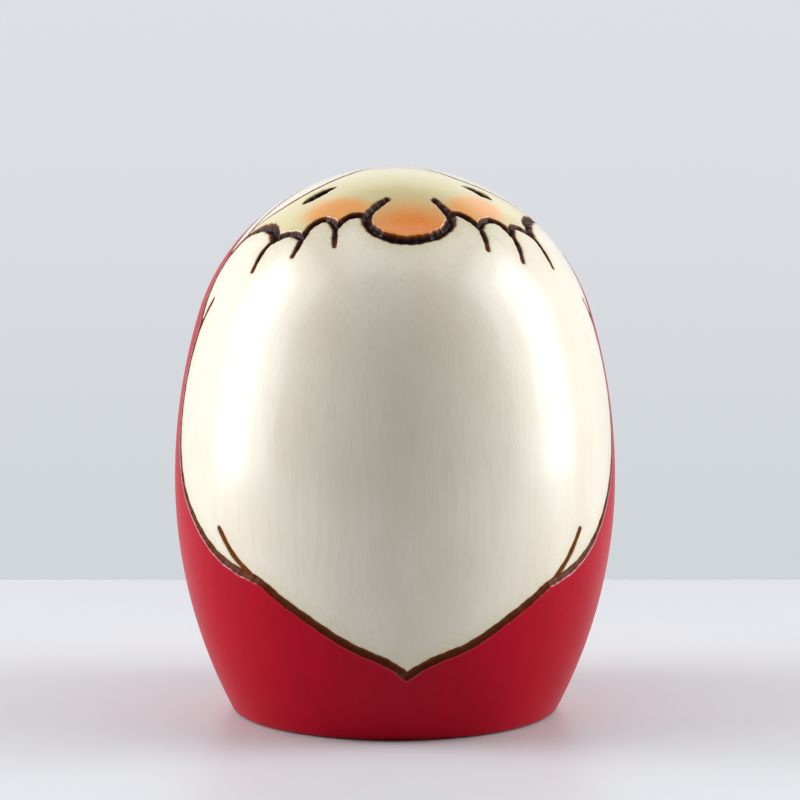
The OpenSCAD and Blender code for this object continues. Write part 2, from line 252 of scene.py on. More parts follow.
class Stroke:
    """One burnt line on the skin, as a fine polyline with a half width at each point."""

    def __init__(self, node, outline, width, burn, ridges):
        self.node, self.burn, self.ridges = node, burn, ridges
        self.loose = width == STRAND_W  # it starts at an open end
        knots = aim(outline)
        factors = np.array([p[2] if len(p) > 2 else 1.0 for p in outline])
        padded = np.vstack([knots[:1], knots, knots[-1:]])
        t = np.linspace(0, 1, 12, endpoint=False)[:, None]
        spans = []
        for a, b, c, d in zip(padded, padded[1:], padded[2:], padded[3:]):
            spans.append(0.5 * (2 * b + (c - a) * t + (2 * a - 5 * b + 4 * c - d) * t**2
                                + (3 * b - a - 3 * c + d) * t**3))
        line = np.vstack(spans + [knots[-1:]])
        factors = np.interp(np.linspace(0, len(knots) - 1, len(line)),
                            np.arange(len(knots)), factors)
        self.points = skin(unit(line))[0]
        steps = np.diff(self.points, axis=0)
        self.lengths = np.linalg.norm(steps, axis=1)
        self.along = np.concatenate([[0], np.cumsum(self.lengths)])
        phase = 1.7 * len(outline) + 0.9 * outline[0][0]
        wobble = (0.07 * np.sin(2.1 * self.along + phase)
                  + 0.05 * np.sin(5.3 * self.along + 2 * phase))
        self.half = width / 2 * factors * (1 + wobble)

    def roughly(self, points):
        """Distance from each point to the nearest of every sixth point of the line, and
        that point's number."""
        sparse = self.points[::SPARSE]
        square = (points**2).sum(1)[:, None] + (sparse**2).sum(1) - 2 * points @ sparse.T
        k = square.argmin(1)
        return np.sqrt(np.maximum(square[np.arange(len(points)), k], 0)), k * SPARSE

    def measure(self, points, nearest):
        """For each point: distance to the line, half width, distance along and foot."""
        span = np.arange(-SPARSE - 1, SPARSE + 1)
        k = np.clip(nearest[:, None] + span, 0, len(self.lengths) - 1)
        step = np.diff(self.points, axis=0)
        rel = points[:, None] - self.points[k]
        t = np.clip((rel * step[k]).sum(2) / self.lengths[k] ** 2, 0, 1)
        gap = ((rel - t[..., None] * step[k]) ** 2).sum(2)
        rows = np.arange(len(points))
        best = gap.argmin(1)
        k, t = k[rows, best], t[rows, best]
        foot = self.points[k] + t[:, None] * step[k]
        half = self.half[k] * (1 - t) + self.half[k + 1] * t
        along = self.along[k] + t * self.lengths[k]
        return np.column_stack([np.sqrt(gap[rows, best]), half, along, foot])


LINES = [Stroke(*row) for row in STROKES]


def nearest_line(points):
    """Per point: distance from the nearest groove's edge (negative inside), its index,
    the distance in half widths, the distance along, the groove's depth and the foot."""
    best = np.full(len(points), np.inf)
    rows = np.zeros((len(points), 7))
    depth = np.zeros(len(points))
    for index, line in enumerate(LINES):
        rough, nearest = line.roughly(points)
        best = np.where(rough < best, rough, best)
        near = np.flatnonzero(rough < NEAR)
        if not len(near):
            continue
        found = line.measure(points[near], nearest[near])
        distance, half, along = found[:, 0], found[:, 1], found[:, 2]
        across = distance / half
        bell = 0.5 + 0.5 * np.cos(np.pi * np.clip(across / SHOULDER, 0, 1))
        wall = np.clip(1.6 * across, 0, 1) * np.clip(2.2 * (1.1 - across), 0, 1)
        ridge = np.sin(2 * np.pi * along / RIDGE_PITCH + 0.8 * np.sin(1.9 * along))
        pressed = bell * half * (1.05 + 0.06 * np.sin(2.7 * along))
        pressed += RIDGE_H * line.ridges * ridge * wall
        depth[near] = np.maximum(depth[near], np.where(across < SHOULDER, pressed, 0))
        edge = distance - half
        closer = (edge < best[near]) | (rough[near] <= best[near])
        chosen = near[closer]
        best[chosen] = edge[closer]
        rows[chosen] = np.column_stack([
            np.full(len(chosen), index), across[closer], along[closer], half[closer],
            found[closer, 3:]])
    return {"edge": best, "index": rows[:, 0].astype(int), "across": rows[:, 1],
            "along": rows[:, 2], "half": rows[:, 3], "foot": rows[:, 4:],
            "depth": np.maximum(depth, 0)}


# ---------------------------------------------------------------- the fine skin mesh

def triangle_edges(faces):
    """Each edge once, and for each face the numbers of its edges ab, bc and ca."""
    pairs = np.sort(np.vstack([faces[:, [0, 1]], faces[:, [1, 2]], faces[:, [2, 0]]]), 1)
    size = faces.max() + 1
    keys, number = np.unique(pairs[:, 0] * size + pairs[:, 1], return_inverse=True)
    return np.column_stack([keys // size, keys % size]), number.reshape(3, -1).T


def split_marked(faces, number, new_vertex, points):
    """Splits every face at its marked edges. number is each face's edges, new_vertex gives
    each edge's new vertex or -1, and points places the vertices."""
    middle = new_vertex[number]
    count = (middle >= 0).sum(1)
    out = [faces[count == 0]]
    lone = np.flatnonzero(count == 1)
    turn = (middle[lone] >= 0).argmax(1)
    a, b, c = (faces[lone, (turn + k) % 3] for k in range(3))
    m = middle[lone, turn]
    out += [np.column_stack([a, m, c]), np.column_stack([m, b, c])]
    pair = np.flatnonzero(count == 2)
    turn = ((middle[pair] < 0).argmax(1) + 1) % 3
    a, b, c = (faces[pair, (turn + k) % 3] for k in range(3))
    m, n = middle[pair, turn], middle[pair, (turn + 1) % 3]
    out.append(np.column_stack([m, b, n]))
    an = np.linalg.norm(points[a] - points[n], axis=1)
    mc = np.linalg.norm(points[m] - points[c], axis=1)
    short = an < mc
    out += [np.column_stack([a, m, n])[short], np.column_stack([a, n, c])[short]]
    out += [np.column_stack([a, m, c])[~short], np.column_stack([m, n, c])[~short]]
    full = count == 3
    a, b, c = faces[full].T
    ab, bc, ca = middle[full].T
    out += [np.column_stack(t) for t in ((a, ab, ca), (ab, b, bc), (ca, bc, c), (ab, bc, ca))]
    return np.vstack(out)


def cut(directions, faces, value):
    """Cuts the mesh where value crosses zero. Returns the new mesh and its values, which
    are zero at the new vertices."""
    edges, number = triangle_edges(faces)
    v0, v1 = value[edges].T
    crossed = v0 * v1 < 0
    new_vertex = np.full(len(edges), -1)
    new_vertex[crossed] = len(directions) + np.arange(crossed.sum())
    t = (v0 / np.where(crossed, v0 - v1, 1))[crossed, None]
    added = unit(directions[edges[crossed, 0]] * (1 - t) + directions[edges[crossed, 1]] * t)
    directions = np.vstack([directions, added])
    points = skin(directions)[0]
    value = np.concatenate([value, np.zeros(len(added))])
    return directions, split_marked(faces, number, new_vertex, points), value


def round_mesh():
    """A sphere of even triangles, as unit directions and faces."""
    bm = bmesh.new()
    bmesh.ops.create_icosphere(bm, subdivisions=SPHERE_SPLITS, radius=1)
    directions = unit(np.array([v.co for v in bm.verts]))
    faces = np.array([[v.index for v in f.verts] for f in bm.faces])
    bm.free()
    return directions, faces


def refine(directions, faces):
    """Splits long edges until the mesh is fine beside every groove."""
    edge_gap = nearest_line(skin(directions)[0])["edge"]
    for _ in range(REFINE_ROUNDS):
        points = skin(directions)[0]
        edges, number = triangle_edges(faces)
        length = np.linalg.norm(points[edges[:, 0]] - points[edges[:, 1]], axis=1)
        gap = np.maximum(np.abs(edge_gap[edges]).min(1) - FINE_BAND, 0)
        inside = edge_gap[edges].min(1) < 0
        target = np.where(inside, FINE_EDGE, FINE_EDGE + EDGE_GROWTH * gap)
        long = length > np.minimum(target, COARSE_EDGE)
        if not long.any():
            break
        new_vertex = np.full(len(edges), -1)
        new_vertex[long] = len(directions) + np.arange(long.sum())
        added = unit(directions[edges[long]].mean(1))
        directions = np.vstack([directions, added])
        edge_gap = np.concatenate([edge_gap, nearest_line(skin(added)[0])["edge"]])
        faces = split_marked(faces, number, new_vertex, skin(directions)[0])
    return directions, faces


def snap_to_edges(directions, info):
    """Moves vertices that nearly lie on a groove's edge onto it."""
    points = skin(directions)[0]
    close = (np.abs(info["edge"]) < SNAP * FINE_EDGE) & (info["across"] > 0.2)
    away = points[close] - info["foot"][close]
    moved = info["foot"][close] + unit(away) * info["half"][close, None]
    directions = directions.copy()
    directions[close] = unit(moved - [0, 0, WAIST_Z])
    return directions, close


def ellipse_value(directions, centre):
    """Under zero inside a cheek round centre."""
    u = aim([centre])[0]
    across = unit(np.cross([0, 0, 1], u))
    along = np.cross(u, across)
    points = skin(directions)[0]
    rel = points - skin(u[None])[0]
    x = rel @ across / CHEEK_RX
    y = rel @ along / CHEEK_RY
    facing = directions @ u > 0.5
    return np.where(facing, np.hypot(x, y) - 1, 1.0)


def nose_value(directions):
    """Under zero below the level curve that closes the nose at its top, and no value away
    from that curve."""
    a, b, c = skin(aim(NOSE_TOP))[0]
    normal = unit(np.cross(b - a, c - a))
    normal = normal * np.sign(-normal[1])
    rel = skin(directions)[0] - b
    close = np.abs(rel[:, 0]) < np.abs(c[0] - a[0])
    close &= np.linalg.norm(rel, axis=1) < 2 * np.abs(c[0] - a[0])
    return np.where(close, rel @ -normal, np.nan)


def inside_nose(directions):
    """True inside the loop of the nose's line and the curve over it."""
    loop = np.vstack([aim(NOSE), aim(NOSE_TOP)[1:2]])
    middle = unit(loop.mean(0))
    across = unit(np.cross([0, 0, 1], middle))
    along = np.cross(middle, across)
    flat = np.column_stack([directions @ across, directions @ along])
    flat_loop = np.column_stack([loop @ across, loop @ along])
    inside = np.zeros(len(directions), bool)
    for (x0, y0), (x1, y1) in zip(flat_loop, np.roll(flat_loop, -1, 0)):
        spans = (flat[:, 1] < y0) != (flat[:, 1] < y1)
        x = x0 + (flat[:, 1] - y0) * (x1 - x0) / (y1 - y0 + 1e-12)
        inside ^= spans & (flat[:, 0] < x)
    return inside & (directions @ middle > 0.5)


def components(faces, allowed):
    """Number of the connected stretch that each allowed face belongs to."""
    parent = list(range(len(faces)))

    def root(k):
        while parent[k] != k:
            parent[k] = parent[parent[k]]
            k = parent[k]
        return k

    edges, number = triangle_edges(faces)
    first = [-1] * len(edges)
    for k in np.flatnonzero(allowed).tolist():
        for e in number[k].tolist():
            if first[e] < 0:
                first[e] = k
            else:
                parent[root(k)] = root(first[e])
    return np.array([root(k) if ok else -1 for k, ok in enumerate(allowed)])


directions, faces = round_mesh()
value = skin(directions)[0][:, 2] - BEVEL_H
value[np.abs(value) < LEVEL_SNAP] = 0
directions, faces, value = cut(directions, faces, value)
faces = faces[value[faces].sum(1) > 0]
directions, faces = refine(directions, faces)

directions, snapped = snap_to_edges(directions, nearest_line(skin(directions)[0]))
value = nearest_line(skin(directions)[0])["edge"]
value[snapped] = 0
directions, faces, edge_value = cut(directions, faces, value)
for value_of in (
    lambda d: ellipse_value(d, LEFT_CHEEK),
    lambda d: ellipse_value(d, RIGHT_CHEEK),
    nose_value,
):
    old = len(directions)
    directions, faces, _ = cut(directions, faces, value_of(directions))
    edge_value = np.concatenate([edge_value, np.full(len(directions) - old, np.nan)])

POINTS, NORMALS = skin(directions)
INFO = nearest_line(POINTS)
edge_value = np.where(np.isnan(edge_value), INFO["edge"], edge_value)
IN_LINE = edge_value[faces].sum(1) < 0
SURFACE = POINTS - NORMALS * INFO["depth"][:, None]


def vertex_normals(points, faces, smooth):
    """Area-weighted normals where the grooves are, and the turned surface's elsewhere."""
    a, b, c = (points[faces[:, k]] for k in range(3))
    weighted = np.cross(b - a, c - a)
    total = np.zeros_like(points)
    for k in range(3):
        np.add.at(total, faces[:, k], weighted)
    carved = INFO["depth"] > 1e-5
    touched = np.zeros(len(points), bool)
    touched[faces[carved[faces].any(1)].ravel()] = True
    return np.where(touched[:, None], unit(total + 1e-12 * smooth), smooth)


SHADING = vertex_normals(SURFACE, faces, NORMALS)
CENTRES = unit(directions[faces].mean(1))


def name_faces():
    """The piece that each face belongs to."""
    names = np.full(len(faces), "beard_coat", dtype=object)
    group = components(faces, ~IN_LINE)
    for name, seed in FIELD_SEEDS.items():
        nearest = np.where(IN_LINE, -1, CENTRES @ aim([seed])[0]).argmax()
        names[group == group[nearest]] = name
    on_face = names == "face_coat"
    for name, spot in (("left_cheek_coat", LEFT_CHEEK), ("right_cheek_coat", RIGHT_CHEEK)):
        names[on_face & (ellipse_value(CENTRES, spot) < 0)] = name
    names[on_face & inside_nose(CENTRES)] = "nose_coat"
    line_of = INFO["index"][faces]
    order = INFO["edge"][faces].argmin(1)
    nodes = np.array([line.node for line in LINES], dtype=object)
    names[IN_LINE] = nodes[line_of[np.arange(len(faces)), order]][IN_LINE]
    return names


def lone_edges(own):
    """The directed edges of the faces own that no other face of own shares."""
    directed = np.vstack([own[:, [0, 1]], own[:, [1, 2]], own[:, [2, 0]]])
    size = directed.max() + 1
    inner = np.isin(directed[:, 0] * size + directed[:, 1],
                    directed[:, 1] * size + directed[:, 0])
    return directed[~inner]


def settle(names):
    """Gives stray islands, and the faces round a point where a piece only pinches itself,
    to the piece with most faces there."""
    corners = faces.ravel()
    order = np.argsort(corners, kind="stable")
    begin = np.searchsorted(corners[order], np.arange(len(directions) + 1))

    def touching(ids):
        return np.unique(np.concatenate([order[begin[v]:begin[v + 1]] for v in ids]) // 3)

    def commonest(near):
        found, counts = np.unique(names[near].astype(str), return_counts=True)
        return found[counts.argmax()]

    for _ in range(SETTLE_ROUNDS):
        moved = False
        for name in LOOKS:
            group = components(faces, names == name)
            ids, counts = np.unique(group[names == name], return_counts=True)
            for k in ids[counts < ISLAND]:
                island = np.flatnonzero(group == k)
                near = touching(np.unique(faces[island]))
                names[island] = commonest(near[names[near] != name])
                moved = True
            starts, counts = np.unique(lone_edges(faces[names == name])[:, 0],
                                       return_counts=True)
            for v in starts[counts > 1]:
                near = touching([v])
                names[near] = commonest(near)
                moved = True
        if not moved:
            break
    return names


def soft_spot(points, centre, rx, ry, full):
    """Strength of a sprayed spot: 1 out to the share full of its radii, then softly to 0."""
    u = aim([centre])[0]
    across = unit(np.cross([0, 0, 1], u))
    along = np.cross(u, across)
    rel = points - skin(u[None])[0]
    reach = np.hypot(rel @ across / rx, rel @ along / ry)
    rim = np.clip((SPRAY_OUT - reach) / (SPRAY_OUT - full), 0, 1)
    return rim**2 * (3 - 2 * rim) * (points[:, 2] > WAIST_Z)


LOOSE = np.array([line.loose for line in LINES])[INFO["index"]]
FROM_END = TIP_BURN + (1 - TIP_BURN) * np.clip(INFO["along"] / TIP_L, 0, 1)
BURN = np.array([line.burn for line in LINES])[INFO["index"]] * np.where(LOOSE, FROM_END, 1)
WIDTH_SHARE = np.clip(INFO["half"] / (0.5 * STRAND_W), 0, 1)
NOSE_ZONE = inside_nose(directions).astype(float)
# What the materials read at each vertex
TINTS = {
    "edge": np.clip(INFO["edge"], 0, EDGE_REACH),
    "across": np.clip(INFO["across"], 0, ACROSS_REACH),
    "burn": BURN * (FINE_BURN + (1 - FINE_BURN) * WIDTH_SHARE),
    "cheek": np.maximum(soft_spot(POINTS, *LEFT_BLUSH),
                        soft_spot(POINTS, *RIGHT_BLUSH)) * (1 - NOSE_ZONE),
    "nose": soft_spot(POINTS, *NOSE_SPRAY) * NOSE_ZONE,
}


# ---------------------------------------------------------------- pieces

def add_piece(name, vertices, polygons, normals, material, attributes=None):
    """Makes one piece from millimetre data and ties it to the frame."""
    mesh = bpy.data.meshes.new(name)
    mesh.from_pydata((np.asarray(vertices) * MM).tolist(), [], polygons.tolist())
    for key, values in (attributes or {}).items():
        mesh.attributes.new(key, "FLOAT", "POINT").data.foreach_set("value", values)
    mesh.polygons.foreach_set("use_smooth", np.ones(len(polygons), bool))
    mesh.update()
    if normals is not None:
        mesh.normals_split_custom_set(normals.reshape(-1, 3).tolist())
    mesh.materials.append(material)
    piece = bpy.data.objects.new(name, mesh)
    bpy.context.collection.objects.link(piece)
    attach(piece, "root")
    return piece


def add_shell(name, own, material):
    """A closed shell of the skin's faces own, SHELL_T thick."""
    ids, local = np.unique(faces[own], return_inverse=True)
    outer = local.reshape(-1, 3)
    size = len(ids)
    inner = outer[:, ::-1] + size
    a, b = lone_edges(outer).T
    rim = np.vstack([np.column_stack([b, a, a + size]),
                     np.column_stack([b, a + size, b + size])])
    vertices = np.vstack([SURFACE[ids], POINTS[ids] - NORMALS[ids] * SHELL_T])
    shading = np.vstack([SHADING[ids], -NORMALS[ids]])
    flat = np.cross(vertices[rim[:, 1]] - vertices[rim[:, 0]],
                    vertices[rim[:, 2]] - vertices[rim[:, 0]])
    polygons = np.vstack([outer, inner, rim])
    normals = np.vstack([shading[outer].reshape(-1, 3), shading[inner].reshape(-1, 3),
                         np.repeat(unit(flat + 1e-12), 3, axis=0)])
    tints = {key: np.tile(values[ids], 2) for key, values in TINTS.items()}
    piece = add_piece(name + "_look", vertices, polygons, normals, material, tints)
    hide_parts(name)


# ---------------------------------------------------------------- materials

def srgb(r, g, b):
    """Linear colour from 0 to 255 screen values."""
    parts = [c / 255 for c in (r, g, b)]
    return [c / 12.92 if c <= 0.04045 else ((c + 0.055) / 1.055) ** 2.4 for c in parts] + [1]


class Nodes:
    """A short way to write a material's node tree."""

    def __init__(self, name):
        self.material = bpy.data.materials.new(name)
        self.material.use_nodes = True
        self.tree = self.material.node_tree
        self.shader = self.tree.nodes["Principled BSDF"]
        self.coords = self.tree.nodes.new("ShaderNodeTexCoord").outputs["Object"]

    def link(self, source, target):
        if isinstance(source, (int, float, list, tuple)):
            target.default_value = source
        else:
            self.tree.links.new(source, target)

    def noise(self, scale, detail=2.0, rough=0.5):
        """Noise with a scale per axis, in cells per millimetre."""
        mapping = self.tree.nodes.new("ShaderNodeMapping")
        mapping.inputs["Scale"].default_value = [s / MM for s in scale]
        self.link(self.coords, mapping.inputs["Vector"])
        node = self.tree.nodes.new("ShaderNodeTexNoise")
        node.inputs["Scale"].default_value = 1.0
        node.inputs["Detail"].default_value = detail
        node.inputs["Roughness"].default_value = rough
        self.link(mapping.outputs["Vector"], node.inputs["Vector"])
        return node.outputs["Fac"]

    def attribute(self, name):
        node = self.tree.nodes.new("ShaderNodeAttribute")
        node.attribute_name = name
        return node.outputs["Fac"]

    def ramp(self, value, low, high, to_low=0.0, to_high=1.0):
        node = self.tree.nodes.new("ShaderNodeMapRange")
        node.interpolation_type = "SMOOTHSTEP"
        for key, number in (("From Min", low), ("From Max", high),
                            ("To Min", to_low), ("To Max", to_high)):
            node.inputs[key].default_value = number
        self.link(value, node.inputs["Value"])
        return node.outputs["Result"]

    def math(self, operation, a, b):
        node = self.tree.nodes.new("ShaderNodeMath")
        node.operation = operation
        self.link(a, node.inputs[0])
        self.link(b, node.inputs[1])
        return node.outputs[0]

    def mix(self, factor, a, b):
        node = self.tree.nodes.new("ShaderNodeMix")
        node.data_type = "RGBA"
        self.link(factor, node.inputs[0])
        self.link(a, node.inputs[6])
        self.link(b, node.inputs[7])
        return node.outputs[2]

    def bump(self, height, distance, strength, normal=None):
        node = self.tree.nodes.new("ShaderNodeBump")
        node.inputs["Distance"].default_value = distance * MM
        node.inputs["Strength"].default_value = strength
        self.link(height, node.inputs["Height"])
        if normal is not None:
            self.link(normal, node.inputs["Normal"])
        return node.outputs["Normal"]


GRAIN = (2.2, 2.2, 0.05)  # the wood's grain runs up the block
SCORCH = srgb(150, 92, 38)
SCORCH_DARK = srgb(105, 50, 22)
HAZE = srgb(205, 196, 140)
OCHRE = srgb(150, 88, 36)
HAZE_REACH = 2.4  # how far beside a burnt line each kind of scorching goes, in millimetres
SCORCH_REACH = 0.4
RIM_REACH = 0.13


def gloss(nodes, roughness, coat_roughness, coat=1.0):
    """Sets a lacquered surface on the shader's own sockets."""
    nodes.shader.inputs["Roughness"].default_value = roughness
    nodes.shader.inputs["Specular IOR Level"].default_value = 0.35 * coat
    nodes.shader.inputs["Coat Weight"].default_value = coat
    nodes.shader.inputs["Coat Roughness"].default_value = coat_roughness
    nodes.shader.inputs["Coat IOR"].default_value = 1.5


def lacquer(name, colour, streak, halo, sprays=(), coat=1.0):
    """Gloss lacquer over vertical grain, scorched beside the burnt lines. halo is how much
    the scorching shows, and sprays are (attribute, colour, most) of soft spots."""
    nodes = Nodes(name)
    grain = nodes.noise(GRAIN, 4.0, 0.6)
    cloud = nodes.noise((0.12, 0.12, 0.05), 3.0)
    paint = nodes.mix(nodes.ramp(cloud, 0.35, 0.7, 0.0, 0.6), colour, streak)
    paint = nodes.mix(nodes.ramp(grain, 0.45, 0.75, 0.0, 0.5), paint, streak)
    edge = nodes.attribute("edge")
    wander = nodes.ramp(nodes.noise((1.6, 1.6, 1.6), 4.0, 0.65), 0.3, 0.7, 0.6, 1.5)
    reach = nodes.math("DIVIDE", edge, wander)
    burn = nodes.attribute("burn")
    haze = nodes.math("MULTIPLY", nodes.ramp(reach, 0.0, HAZE_REACH, 0.9 * halo, 0.0), burn)
    paint = nodes.mix(haze, paint, HAZE)
    for attribute, tint, most in sprays:
        spray = nodes.math("MULTIPLY", nodes.attribute(attribute),
                           nodes.ramp(nodes.noise((1.3, 1.3, 1.3), 3.0), 0.2, 0.8, 0.85, 1.0))
        paint = nodes.mix(nodes.math("MULTIPLY", spray, most), paint, tint)
    wide = nodes.math("MULTIPLY", nodes.ramp(reach, 0.0, SCORCH_REACH, halo, 0.0), burn)
    thin = nodes.math("MULTIPLY", nodes.ramp(reach, 0.0, RIM_REACH, 0.8, 0.0), burn)
    paint = nodes.mix(wide, paint, SCORCH)
    paint = nodes.mix(thin, paint, SCORCH_DARK)
    nodes.link(paint, nodes.shader.inputs["Base Color"])
    gloss(nodes, 0.38, 0.13, coat)
    if coat < 1:
        rim = nodes.ramp(edge, 0.08, 0.35, 1.0, coat)  # the lacquer pools beside the grooves
        nodes.link(rim, nodes.shader.inputs["Coat Weight"])
    fine = nodes.bump(grain, 0.05, 0.4)
    skin_bump = nodes.bump(nodes.noise((0.55, 0.55, 0.16), 2.0), 0.12, 0.16, fine)
    nodes.link(skin_bump, nodes.shader.inputs["Normal"])
    nodes.link(skin_bump, nodes.shader.inputs["Coat Normal"])
    return nodes.material


def charred(name, deep, wall, rim, coat=0.22):
    """Burnt wood under varnish: black-brown in the groove, redder on its shoulders."""
    nodes = Nodes(name)
    speck = nodes.noise((3.5, 3.5, 2.0), 5.0, 0.7)
    across = nodes.math("ADD", nodes.attribute("across"),
                        nodes.ramp(speck, 0.25, 0.75, -0.22, 0.22))
    burn = nodes.attribute("burn")
    colour = nodes.mix(nodes.ramp(across, 0.25, 0.7), deep, wall)
    colour = nodes.mix(nodes.ramp(across, 0.62, 1.0), colour, rim)
    lighter = nodes.ramp(burn, 0.3, 0.7, 0.85, 0.0)
    colour = nodes.mix(lighter, colour, OCHRE)
    nodes.link(colour, nodes.shader.inputs["Base Color"])
    gloss(nodes, 0.5, 0.13, coat)
    crumbs = nodes.bump(nodes.noise((5.0, 5.0, 5.0), 4.0, 0.7), 0.06, 0.35)
    nodes.link(crumbs, nodes.shader.inputs["Normal"])
    nodes.link(crumbs, nodes.shader.inputs["Coat Normal"])
    return nodes.material


def eye_ink():
    """Glossy black in the eye slits, with a burnt rim."""
    nodes = Nodes("black_ink")
    mottle = nodes.noise((2.5, 2.5, 2.5), 3.0)
    rim = nodes.ramp(nodes.attribute("across"), 0.82, 1.05)
    ink = nodes.mix(mottle, srgb(9, 7, 6), srgb(24, 17, 12))
    nodes.link(nodes.mix(rim, ink, srgb(120, 70, 30)), nodes.shader.inputs["Base Color"])
    gloss(nodes, 0.3, 0.08, 0.45)
    nodes.link(nodes.bump(mottle, 0.05, 0.2), nodes.shader.inputs["Normal"])
    return nodes.material


def turned_wood():
    """Pale bare wood: grain up the block, so the base shows its growth rings."""
    nodes = Nodes("turned_wood")
    offset = nodes.tree.nodes.new("ShaderNodeMapping")
    offset.inputs["Location"].default_value = (31 * MM, 12 * MM, 0)
    offset.inputs["Scale"].default_value = (1, 1, 0.02)
    nodes.link(nodes.coords, offset.inputs["Vector"])
    rings = nodes.tree.nodes.new("ShaderNodeTexWave")
    rings.wave_type = "RINGS"
    rings.rings_direction = "SPHERICAL"
    rings.inputs["Scale"].default_value = 0.16 / MM
    rings.inputs["Distortion"].default_value = 2.2
    rings.inputs["Detail Scale"].default_value = 0.12
    nodes.link(offset.outputs["Vector"], rings.inputs["Vector"])
    pores = nodes.noise((6.0, 6.0, 0.2), 4.0, 0.7)
    wood = nodes.mix(rings.outputs["Fac"], srgb(214, 184, 140), srgb(186, 148, 100))
    wood = nodes.mix(nodes.ramp(pores, 0.55, 0.75, 0.0, 0.6), wood, srgb(140, 100, 62))
    nodes.link(wood, nodes.shader.inputs["Base Color"])
    nodes.shader.inputs["Roughness"].default_value = 0.62
    nodes.link(nodes.bump(pores, 0.08, 0.4), nodes.shader.inputs["Normal"])
    return nodes.material


CREAM = srgb(223, 212, 160)
CREAM_STREAK = srgb(216, 202, 146)
WHITE = srgb(241, 233, 214)
WHITE_STREAK = srgb(229, 219, 194)
RED = srgb(182, 0, 33)
RED_STREAK = srgb(166, 0, 27)
SPRAYS = (("cheek", srgb(252, 158, 66), 0.8), ("nose", srgb(244, 132, 2), 1.0))

red_lacquer = lacquer("red_lacquer", RED, RED_STREAK, 0.0, coat=0.12)
white_lacquer = lacquer("white_lacquer", WHITE, WHITE_STREAK, 0.45)
face_lacquer = lacquer("face_lacquer", CREAM, CREAM_STREAK, 0.22, SPRAYS)
dark_char = charred("dark_char", srgb(30, 12, 6), srgb(66, 28, 14), srgb(128, 68, 28))
brown_char = charred("brown_char", srgb(108, 54, 27), srgb(116, 62, 32), srgb(82, 34, 17),
                     coat=0.12)
black_ink = eye_ink()
pale_wood = turned_wood()

LOOKS = {
    "robe_coat": (red_lacquer, "red_lacquer"),
    "beard_coat": (white_lacquer, "white_lacquer"),
    "face_coat": (face_lacquer, "cream_lacquer"),
    "nose_coat": (face_lacquer, "orange_lacquer"),
    "left_cheek_coat": (face_lacquer, "cheek_lacquer"),
    "right_cheek_coat": (face_lacquer, "cheek_lacquer"),
    "left_brow_coat": (white_lacquer, "white_lacquer"),
    "right_brow_coat": (white_lacquer, "white_lacquer"),
    "hood_trim_coat": (white_lacquer, "white_lacquer"),
    "nose_line": (dark_char, "burnt_wood"),
    "left_moustache_line": (dark_char, "burnt_wood"),
    "right_moustache_line": (dark_char, "burnt_wood"),
    "left_beard_line": (brown_char, "burnt_wood"),
    "right_beard_line": (brown_char, "burnt_wood"),
    "left_brow_line": (brown_char, "burnt_wood"),
    "right_brow_line": (brown_char, "burnt_wood"),
    "face_edge_line": (brown_char, "burnt_wood"),
    "hood_line": (brown_char, "burnt_wood"),
    "left_eye_slit": (black_ink, "black_ink"),
    "right_eye_slit": (black_ink, "black_ink"),
}

NAMES = settle(name_faces())
for node, (material, slot) in LOOKS.items():
    add_shell(node, np.flatnonzero(NAMES == node), material)


def turned_block():
    """The bare block: its base with a dimple, tool rings and a bevel, and the wood that the
    lacquer covers."""
    ball_r = (DIMPLE_R**2 + DIMPLE_H**2) / (2 * DIMPLE_H)
    profile = [(ball_r * math.sin(a), DIMPLE_H - ball_r + ball_r * math.cos(a))
               for a in np.linspace(0, math.asin(DIMPLE_R / ball_r), 10)]
    flat_r = BASE_R - BEVEL_H
    for r in np.arange(DIMPLE_R + RING_STEP, flat_r - 0.3, RING_STEP):
        profile.append((r, RING_H + RING_H * math.sin(2 * math.pi * r / RING_PITCH)))
    profile += [(flat_r - 0.25, 0.0), (flat_r, 0.02), (flat_r + 0.12, 0.1),
                (BASE_R - 0.14, BEVEL_H - 0.1), (BASE_R - 0.16, BEVEL_H + 0.05)]
    foot = math.atan2(BEVEL_H + 0.3 - WAIST_Z, BASE_R)
    rise = np.linspace(foot, math.pi / 2, BLOCK_ROWS)
    points, normals = skin(np.column_stack([np.zeros(len(rise)), -np.cos(rise), np.sin(rise)]))
    inner = points - normals * SHELL_T
    profile += [(-y, z) for _, y, z in inner]
    angles = np.linspace(0, 2 * np.pi, BLOCK_TURNS, endpoint=False)
    middle = np.array(profile[1:-1])
    vertices = [[0, 0, profile[0][1]]]
    vertices += [[r * math.cos(a), r * math.sin(a), z] for r, z in middle for a in angles]
    vertices.append([0, 0, profile[-1][1]])
    triangles = []
    for j in range(BLOCK_TURNS):
        k = (j + 1) % BLOCK_TURNS
        triangles.append([0, 1 + k, 1 + j])
        for row in range(len(middle) - 1):
            a, b = 1 + row * BLOCK_TURNS, 1 + (row + 1) * BLOCK_TURNS
            triangles += [[a + j, a + k, b + k], [a + j, b + k, b + j]]
        top = 1 + (len(middle) - 1) * BLOCK_TURNS
        triangles.append([top + j, top + k, len(vertices) - 1])
    triangles = np.array(triangles)
    block = add_piece("turned_block", vertices, triangles, None, pale_wood)
    block.data.materials.append(red_lacquer)  # the red runs over the bevel
    x, y, z = np.array(vertices)[triangles].mean(1).T
    painted = (z > RING_H) & (z < WAIST_Z) & (np.hypot(x, y) > flat_r)
    block.data.polygons.foreach_set("material_index", painted.astype(int))
    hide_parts("wood_body")


turned_block()

# ---------------------------------------------------------------- studio

